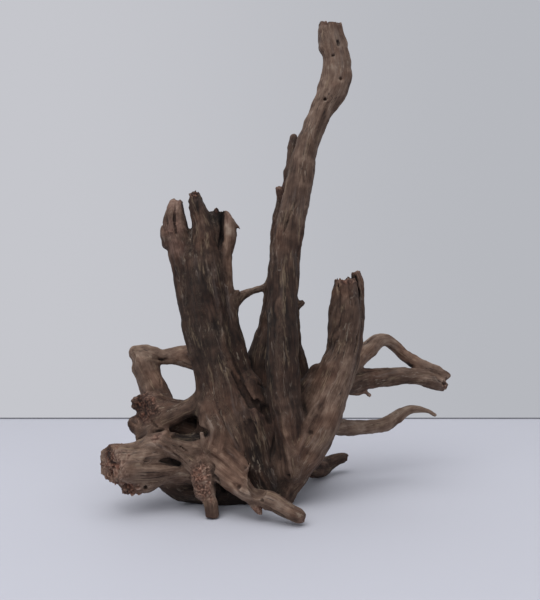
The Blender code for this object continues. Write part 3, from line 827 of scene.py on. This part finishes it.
closeness = np.full((len(strands), len(points)), 99, np.float32)
sample = np.zeros((len(strands), len(points)), np.int32)
for i, s in enumerate(strands):
    reach = s["radius"].max() + 6
    near = np.flatnonzero(((points > s["middle"].min(0) - reach) & (points < s["middle"].max(0) + reach)).all(1))
    for part in np.array_split(near, max(1, len(near) * len(s["along"]) // 2_000_000)):
        if len(part):
            gap = np.linalg.norm(points[part, None] - s["middle"][None], axis=2) - s["radius"][None]
            sample[i, part] = gap.argmin(1)
            closeness[i, part] = gap.min(1)
owner = closeness.argmin(0)
share = np.exp(-(closeness - closeness.min(0)) / SHARE_WIDTH)
share[share < 0.02] = 0
share /= share.sum(0)
print("most of the skin lies on the strand", strands[np.bincount(owner).argmax()]["name"])

# %% [markdown]
# Where the root was broken or dug out, the wood is torn. Such a place is a ball with a ragged edge, and says
# how much of it has crumbled: all of it at the stub's end, hardly any of it where clean splinters stand.

# %% Torn faces
TORN = [  # where the wood is broken: (x, y, z, reach, how much of it is crumbs)
    (-170, -68, 46, 17, 1.0), (-152, -66, 24, 10, 1.0), (-150, -20, 92, 14, 0.8), (-88, -67, 38, 10, 0.8),
    (-84, -71, 25, 10, 0.8), (-120, -6, 297, 9, 0.2), (-123, -12, 272, 11, 0.2), (-119, -13, 252, 9, 0.1),
    (-101, -6, 308, 7, 0.8), (-80, -2, 292, 5, 0.6), (-67, -4, 284, 6, 0.1), (37, -8, 479, 8, 0.3),
    (-14, 11, 315, 8, 0.3), (51, -14, 222, 11, 0.8), (50, -26, 219, 6, 0.6), (173, 62, 102, 7, 0.5),
    (6, -90, 5, 5, 0.1), (-77, -70, 2, 5, 0.3), (-34, -82, 9, 6, 0.6), (64, -2, 226, 6, 0.2), (85, 45, 94, 8, 0),
    (64, 77, 14, 6, 0.5), (-84, -46, 47, 11, 0.5), (-131, -55, 71, 7, 0.3), (-34, -45, 93, 8, 0.2)]
torn = np.zeros(len(points))
crumbled = np.zeros(len(points))
for x, y, z, reach, share_of_crumbs in TORN:
    near = np.clip(1.5 - np.linalg.norm(points - (x, y, z), axis=1) / reach, 0, 1)
    near = np.clip(near + 0.35 * noise(points / 4, 5) * (near > 0), 0, 1)
    torn = np.maximum(torn, near)
    crumbled = np.maximum(crumbled, near * share_of_crumbs)
print("torn points", int((torn > 0.5).sum()), "crumbled", int((crumbled > 0.5).sum()))

# %% Relief along the grain
PATTERN_STEP = 37.0  # mm that one strand's pattern is set apart from the next one's

relief = np.zeros(len(points))
streak = np.zeros(len(points))
tone = np.zeros(len(points))
fibre = np.zeros((len(points), 3))
for i, s in enumerate(strands):
    on = np.flatnonzero(share[i] > 0)
    if not len(on):
        continue
    a, b, along = in_strand(s, points[on], sample[i, on])
    depth = np.clip(s["radius"][sample[i, on]] / 11, 0.3, 1)
    warp = 2.6 * noise(points[on] / 21, 3)

    def grain(width, length, seed):
        """Noise that is width mm across the grain and length mm along it."""
        return noise(np.stack([(a + warp) / width, (b - warp) / width, along / length], -1), s["seed"] + seed)

    rare = np.clip(grain(13, 60, 20) * 2.2 - 0.5, 0, 1)
    furrow = np.exp(-(grain(9, 110, 21) / 0.16) ** 2) * rare
    patchy = np.clip(0.5 + grain(19, 50, 26), 0, 1)
    rib = grain(6.5, 70, 23)
    line = grain(2.4, 30, 24)
    height = -1.1 * furrow + (0.5 * rib + 0.2 * line) * patchy
    relief[on] += share[i, on] * depth * height
    streak[on] += share[i, on] * ((0.3 * rib + 0.4 * line) * patchy - 1.0 * furrow)
    tone[on] += share[i, on] * s["tone"][sample[i, on]]
    mine = owner[on] == i
    fibre[on[mine]] = np.stack([a, b, along], 1)[mine] + PATTERN_STEP * i
print("furrows and ribs from", relief.min().round(2), "to", relief.max().round(2), "mm")

# %% Crumbs and small knobs
CRUMB = 4.2  # mm
JOSTLE = 1.6  # mm by which the crumbs are pushed out of their rows
FLAT = 4.0  # mm above the floor, below which the feet lose their relief

jostled = points + JOSTLE * np.stack([noise(points / 4.5, seed) for seed in (51, 52, 53)], -1)
gap, own = crumbs(jostled / (CRUMB, CRUMB, 0.8 * CRUMB), 8)
relief = relief * (1 - 0.8 * crumbled) + crumbled * (gap * (2.3 + 1.6 * own) - 1.9)
relief += 0.6 * noise(points / 9, 41) + 0.22 * noise(points / 3.6, 42)
relief *= np.clip(points[:, 2] / FLAT, 0, 1)
points = points + normals * relief[:, None]
points[:, 2] = np.maximum(points[:, 2], 0)
print("all the relief from", relief.min().round(2), "to", relief.max().round(2), "mm")

# %% [markdown]
# ## How open each place is
#
# Creases and hollows are painted darker, as shade, and edges and ridges are painted paler, partly as
# rubbed wear and partly as highlight. Both can be read from the field: a little way out from an open place
# the field says it is that far away from the wood, and in a crease it says less.

# %% Openness
def field_at(places):
    """The field between its grid points, blended in a straight line along each axis."""
    at = np.clip((places - low) / PITCH, 0, np.array(shape) - 1.001)
    base = at.astype(int)
    t = at - base
    total = 0
    for corner in np.ndindex(2, 2, 2):
        part = np.prod(np.where(corner, t, 1 - t), axis=1)
        total = total + part * field[tuple((base + corner).T)]
    return total


smooth_normals = unit(relaxed(normals, faces, 6))
openness = np.mean([field_at(points + smooth_normals * out) / out for out in (2.5, 5.0, 8.0)], axis=0)
openness = relaxed(np.clip(openness, -0.2, 1.1), faces, 2)
# Painted light: ridges read higher and are made paler, partly as rubbed wear and partly as painted highlight; creases
# read lower and are painted darker, as shade.
edge_wear_and_highlight = ((points - relaxed(points, faces, 3)) * face_normals_at_points(points, faces)).sum(1)
print("openness", np.percentile(openness, (5, 50, 95)).round(2), "edge_wear_and_highlight", np.percentile(edge_wear_and_highlight, (5, 50, 95)).round(3))

# %% [markdown]
# Ground damp, rubbing and rot change the tone over whole areas, with soft edges, and shade is painted into
# the side hollow, at the peg's foot and low down near the floor. Painting them would need a flat map of the
# root, so each is a soft ball of paler or darker tone, and overlapping balls add up.

# %% Stains
# Painted shade: the four darkest balls lie in the side hollow of the thick stub, one darkens the peg's foot where it
# meets the floor, and the broad dark ones low down make the root darker towards the floor.
STAINS_AND_SHADE = [  # where the wood is stained or rubbed pale, or where shade is painted: (x, y, z, reach, tone)
    (-34, -40, 60, 30, -0.2), (-30, -38, 30, 34, -0.2), (-34, -30, 92, 16, -0.2), (-70, -25, 100, 14, 0.3),
    (-44, -20, 105, 12, 0.6), (-35, -20, 118, 10, 0.3), (-100, -30, 20, 22, -0.8), (-60, -30, 8, 22, -0.8),
    (-127, -5, 240, 9, 0.2), (-10, -52, 140, 12, 0.3), (-96, -30, 80, 12, -1.2), (-12, -50, 80, 26, -0.2),
    (-30, -45, 14, 20, -0.6), (-80, -60, 60, 14, 0.3), (-176, -60, 59, 8, -1.4), (-180, -62, 42, 6, -0.8),
    (6, -50, 110, 10, 0.4), (-85, -20, 190, 46, -0.45), (-75, -25, 135, 36, -0.45), (-12, -20, 150, 44, -0.4),
    (-120, -10, 270, 20, -0.2), (80, 0, 150, 30, 0.2), (-77, -70, 0, 5, -1.2), (38, -8, 470, 20, -0.3),
    (-101, -6, 300, 14, -1.3), (-80, -4, 286, 10, -1.3), (-63, -6, 270, 8, 0.9), (-122, -10, 285, 16, 0.3),
    (-50, -75, 25, 30, 0.5), (-80, -70, 20, 12, 0.5), (70, 0, 80, 40, 0.4), (105, 45, 125, 30, 0.3),
    (85, 0, 70, 30, 0.3), (30, -40, 60, 20, 0.2), (45, -10, 465, 20, -0.2), (43, -8, 428, 20, -0.3),
    (10, -50, 40, 24, 0.3), (-163, 20, 140, 14, 0.4), (-150, -22, 92, 14, -0.6), (-100, -35, 67, 9, -2),
    (-110, -38, 68, 8, -1.6), (-91, -37, 69, 9, -2)]
for x, y, z, reach, amount in STAINS_AND_SHADE:
    tone += amount * np.clip(1.4 - np.linalg.norm(points - (x, y, z), axis=1) / reach, 0, 1)
print(len(STAINS_AND_SHADE), "stains, tone from", tone.min().round(2), "to", tone.max().round(2))

# %% [markdown]
# The finish reads everything worked out above from numbers stored at the points of the skin. The skin is
# even and very fine, so flat stretches are thinned, which can't be seen and makes it lighter to reuse.

# %% The skin as a mesh
root_mesh = bpy.data.meshes.new("root_wood")
root_mesh.from_pydata(points * MM, [], faces)
root_mesh.polygons.foreach_set("use_smooth", np.ones(len(faces), bool))


def point_values(name, values):
    """Stores a number, or a vector, at every point of the skin for the finish to read."""
    values = np.asarray(values, np.float32)
    kind, key = ("FLOAT", "value") if values.ndim == 1 else ("FLOAT_VECTOR", "vector")
    root_mesh.attributes.new(name, kind, "POINT").data.foreach_set(key, values.ravel())


for name, values in {"fibre": fibre, "streak": streak, "tone": tone, "torn": torn, "crumbled": crumbled, "crumb": gap,
                     "crumb_own": own, "openness": openness, "edge_wear_and_highlight": edge_wear_and_highlight}.items():
    point_values(name, values)
root_mesh.update()
root = bpy.data.objects.new("root_wood", root_mesh)
bpy.context.collection.objects.link(root)

TRIANGLES = 196_000
thin = root.modifiers.new("fewer faces where it is smooth", "DECIMATE")
thin.ratio = min(1, TRIANGLES / (2 * len(faces)))
print("root", len(points), "points,", 2 * len(faces), "triangles thinned to", TRIANGLES)

# %% [markdown]
# ## The finish: weathered dry hardwood
#
# The wood has lain in soil and water and then dried in air. Its surface is bare: no bark, no varnish. Dark
# tannin has stained it brown, ribs that stand proud are bleached grey-tan, creases are painted darker as
# shade, and broken faces show redder, crumbled wood. It is matt everywhere.
#
# Photographed wood would be quick to lay on, but it would slide across the forks. Here each pattern is noise
# in the strand's own millimetres, squeezed across the grain, so it bends wherever the grain bends.

# %% What the finish reads
wood = bpy.data.materials.new("weathered_dry_hardwood")
wood.use_nodes = True
tree = wood.node_tree
shader = tree.nodes["Principled BSDF"]

reads = {name: node(tree, "ShaderNodeAttribute", attribute_name=name).outputs["Fac"]
         for name in ("streak", "tone", "torn", "crumbled", "crumb", "crumb_own", "openness", "edge_wear_and_highlight")}
along_grain = node(tree, "ShaderNodeAttribute", attribute_name="fibre").outputs["Vector"]
place = node(tree, "ShaderNodeTexCoord").outputs["Object"]

# %% Patterns along the grain
GRAIN = {  # mm across the grain, mm along it, detail, roughness
    "fibres": (1.0, 14, 3, 0.6), "streaks": (3.4, 40, 4, 0.65), "bands": (9, 70, 2, 0.5), "hairline": (6, 80, 2, 0.5),
    "patches": (13, 60, 3, 0.55), "worn": (6, 32, 4, 0.6), "old_seam": (9, 45, 2, 0.55), "flecks": (2.4, 11, 2, 0.6)}
for name, (across, along, detail, roughness) in GRAIN.items():
    squeezed = node(tree, "ShaderNodeMapping", [("Vector", along_grain),
                                                ("Scale", (1 / across, 1 / across, 1 / along))])
    reads[name] = node(tree, "ShaderNodeTexNoise", [("Vector", squeezed.outputs[0]), ("Scale", 1.0),
                                                    ("Detail", detail), ("Roughness", roughness)]).outputs[0]
for name in ("hairline", "old_seam"):  # folded at a half, so the line where the noise is a half is the highest
    reads[name] = node(tree, "ShaderNodeMath", [(0, reads[name]), (1, 0.5)], operation="PINGPONG").outputs[0]

# %% Patterns that ignore the grain
BLOTCHES = {"stain": (38, 3), "mottle": (11, 4), "damp": (26, 3), "grit": (1.7, 3)}  # mm, detail
for name, (size, detail) in BLOTCHES.items():
    reads[name] = node(tree, "ShaderNodeTexNoise", [("Vector", place), ("Scale", 1 / (size * MM)),
                                                    ("Detail", detail)]).outputs[0]

# %% [markdown]
# The figure is one number that adds up everything that makes the wood paler or darker. A colour ramp turns
# it into the browns of this wood, from wet black-brown to bleached tan.

# %% Figure
FIGURE = [("streak", 0.10), ("fibres", 0.26), ("streaks", 0.30), ("bands", 0.26), ("mottle", 0.44), ("tone", 0.175),
          # The edge reading paints ridges paler, partly as wear and partly as highlight, and creases darker, as
          # shade.
          ("edge_wear_and_highlight", 0.34)]
figure = -0.157
for name, weight in FIGURE:
    figure = node(tree, "ShaderNodeMath", [(0, reads[name]), (1, weight), (2, figure)],
                  operation="MULTIPLY_ADD").outputs[0]
reads["figure"] = figure
colour = node(tree, "ShaderNodeValToRGB", [(0, figure)], stops=[
    (0.20, "#1b120e"), (0.38, "#34251d"), (0.52, "#4e3b30"), (0.66, "#6b574a"), (0.80, "#8a7869"),
    (0.95, "#aa9b8c")]).outputs[0]

# %% [markdown]
# Then come the things that lie on the wood, one layer over another. Each layer has a colour, a strength,
# and the readings that say where it lies: none of it below the first number, all of it above the second.

# %% Layers
LAYERS = [
    ("ruddy tannin", "MULTIPLY", "#e6bfa6", 0.38, [("stain", 0.46, 0.62)]),
    ("grey bloom", "MIX", "#544c49", 0.35, [("patches", 0.53, 0.66), ("streaks", 0.42, 0.62)]),
    ("worn pale skin", "MIX", "#87755f", 0.42, [("worn", 0.53, 0.66), ("fibres", 0.40, 0.60),
                                                ("openness", 0.5, 0.9)]),
    ("pale flecks", "MIX", "#908374", 0.40, [("flecks", 0.58, 0.68), ("damp", 0.53, 0.63), ("openness", 0.6, 0.9)]),
    ("raised old seams", "MIX", "#978a7e", 0.26, [("old_seam", 0.484, 0.499), ("patches", 0.47, 0.58),
                                                ("damp", 0.42, 0.52)]),
    ("hairline cracks", "MIX", "#120c0a", 0.80, [("hairline", 0.489, 0.499), ("stain", 0.50, 0.42)])]
for title, kind, hex_colour, strength, where in LAYERS:
    mask = strength
    for name, none_at, all_at in where:
        shown = node(tree, "ShaderNodeMapRange", [(0, reads[name]), (1, none_at), (2, all_at)],
                     interpolation_type="SMOOTHSTEP")
        mask = node(tree, "ShaderNodeMath", [(0, shown.outputs[0]), (1, mask)], operation="MULTIPLY").outputs[0]
    colour = node(tree, "ShaderNodeMix", [(0, mask), (6, colour), (7, (*linear(hex_colour), 1))], data_type="RGBA",
                  blend_type=kind, label=title).outputs[2]

# %% [markdown]
# Torn wood has no skin. Where it has crumbled it is redder, each crumb is a little different from the next,
# and the gaps between crumbs are painted darker, as shade. Where it has split it shows the same figure as the
# skin, only fresher and paler.

# %% Broken wood
# Painted shade: the crumb reading is lowest in the gaps between crumbs, so the gaps are darkest.
BROKEN = [("crumb", 0.34), ("crumb_own", 0.14), ("grit", 0.40), ("mottle", 0.30), ("tone", 0.10)]
crumb_tone_and_gap_shade = -0.225
for name, weight in BROKEN:
    crumb_tone_and_gap_shade = node(tree, "ShaderNodeMath", [(0, reads[name]), (1, weight), (2, crumb_tone_and_gap_shade)],
                     operation="MULTIPLY_ADD").outputs[0]
broken = node(tree, "ShaderNodeValToRGB", [(0, crumb_tone_and_gap_shade)], stops=[
    (0.10, "#1c110d"), (0.26, "#44291f"), (0.42, "#6a4434"), (0.56, "#835745"), (0.72, "#9c7d69")]).outputs[0]
solid = node(tree, "ShaderNodeValToRGB", [(0, figure)], stops=[
    (0.25, "#2c1b15"), (0.42, "#513a31"), (0.58, "#785f53"), (0.72, "#957e70"), (0.9, "#b09c8e")]).outputs[0]
broken = node(tree, "ShaderNodeMix", [(0, reads["crumbled"]), (6, solid), (7, broken)], data_type="RGBA").outputs[2]
shown = node(tree, "ShaderNodeMath", [(0, reads["torn"]), (1, 0.8)], operation="MULTIPLY").outputs[0]
colour = node(tree, "ShaderNodeMix", [(0, shown), (6, colour), (7, broken)], data_type="RGBA").outputs[2]

# %% [markdown]
# The colour is multiplied by how open each place is: painted shade, darkest in creases and hollows.

# %% Painted shade in the creases
# Painted shade: the most closed places keep a tenth of their colour, open places all of it.
crease_shade = node(tree, "ShaderNodeMapRange", [(0, reads["openness"]), (1, 0.05), (2, 0.8), (3, 0.10), (4, 1.0)],
            interpolation_type="SMOOTHSTEP").outputs[0]
colour = node(tree, "ShaderNodeMix", [(0, 1.0), (6, colour), (7, crease_shade)], data_type="RGBA",
              blend_type="MULTIPLY").outputs[2]
tree.links.new(colour, shader.inputs["Base Color"])

# %% [markdown]
# The wood is matt. Paler wood is rubbed a little smoother than dark wood, and fibres, grit and hairline
# cracks that are finer than the mesh are left to a bump.

# %% Roughness and fine relief
rough = node(tree, "ShaderNodeMapRange", [(0, figure), (1, 0.2), (2, 0.9), (3, 0.90), (4, 0.72)]).outputs[0]
tree.links.new(rough, shader.inputs["Roughness"])
shader.inputs["Specular IOR Level"].default_value = 0.3
fine = 0.0
for name, weight in (("fibres", 0.55), ("grit", 0.35), ("hairline", -0.2)):
    fine = node(tree, "ShaderNodeMath", [(0, reads[name]), (1, weight), (2, fine)],
                operation="MULTIPLY_ADD").outputs[0]
bump = node(tree, "ShaderNodeBump", [("Strength", 0.7), ("Distance", 0.9 * MM), ("Height", fine)])
tree.links.new(bump.outputs[0], shader.inputs["Normal"])

root_mesh.materials.append(wood)
print("finish:", len(tree.nodes), "nodes,", len(LAYERS), "layers")

# %% [markdown]
# ## Handing over
#
# The skin rides on the root's only body, stands in for the CAD solid and fills its one material slot.

# %% The frame takes the root
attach(root, "root")
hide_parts("dry_root")
